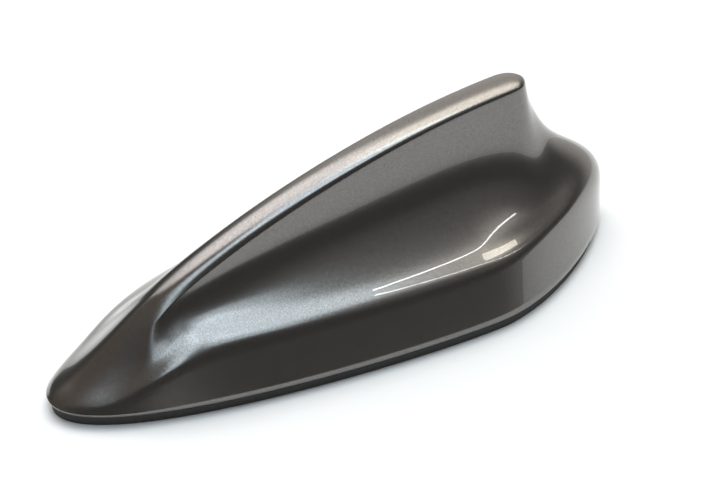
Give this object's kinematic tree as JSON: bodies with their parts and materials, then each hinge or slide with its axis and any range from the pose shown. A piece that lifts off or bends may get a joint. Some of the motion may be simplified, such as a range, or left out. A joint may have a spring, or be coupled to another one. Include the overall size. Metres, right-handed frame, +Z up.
{
  "type": "antenna cover",
  "caption": "Dark grey painted shark-fin roof antenna cover: teardrop base, rounded nose, scooped sides rising to a thin blade, hollow below, on a black rubber base seal.",
  "frame": {"origin": "on the underside of the base seal, in the middle of the overall length and width", "axes": "+X from the nose to the tail, +Y to the car's right-hand side, +Z up from the roof"},
  "size_m": [0.175, 0.0702, 0.0524],
  "materials": {
    "paint": "dark grey metallic paint under a clear coat",
    "seal_rubber": "matte black moulded rubber"
  },
  "bodies": {
    "root": {"cover_shell": "paint", "base_seal": "seal_rubber"}
  },
  "joints": []
}
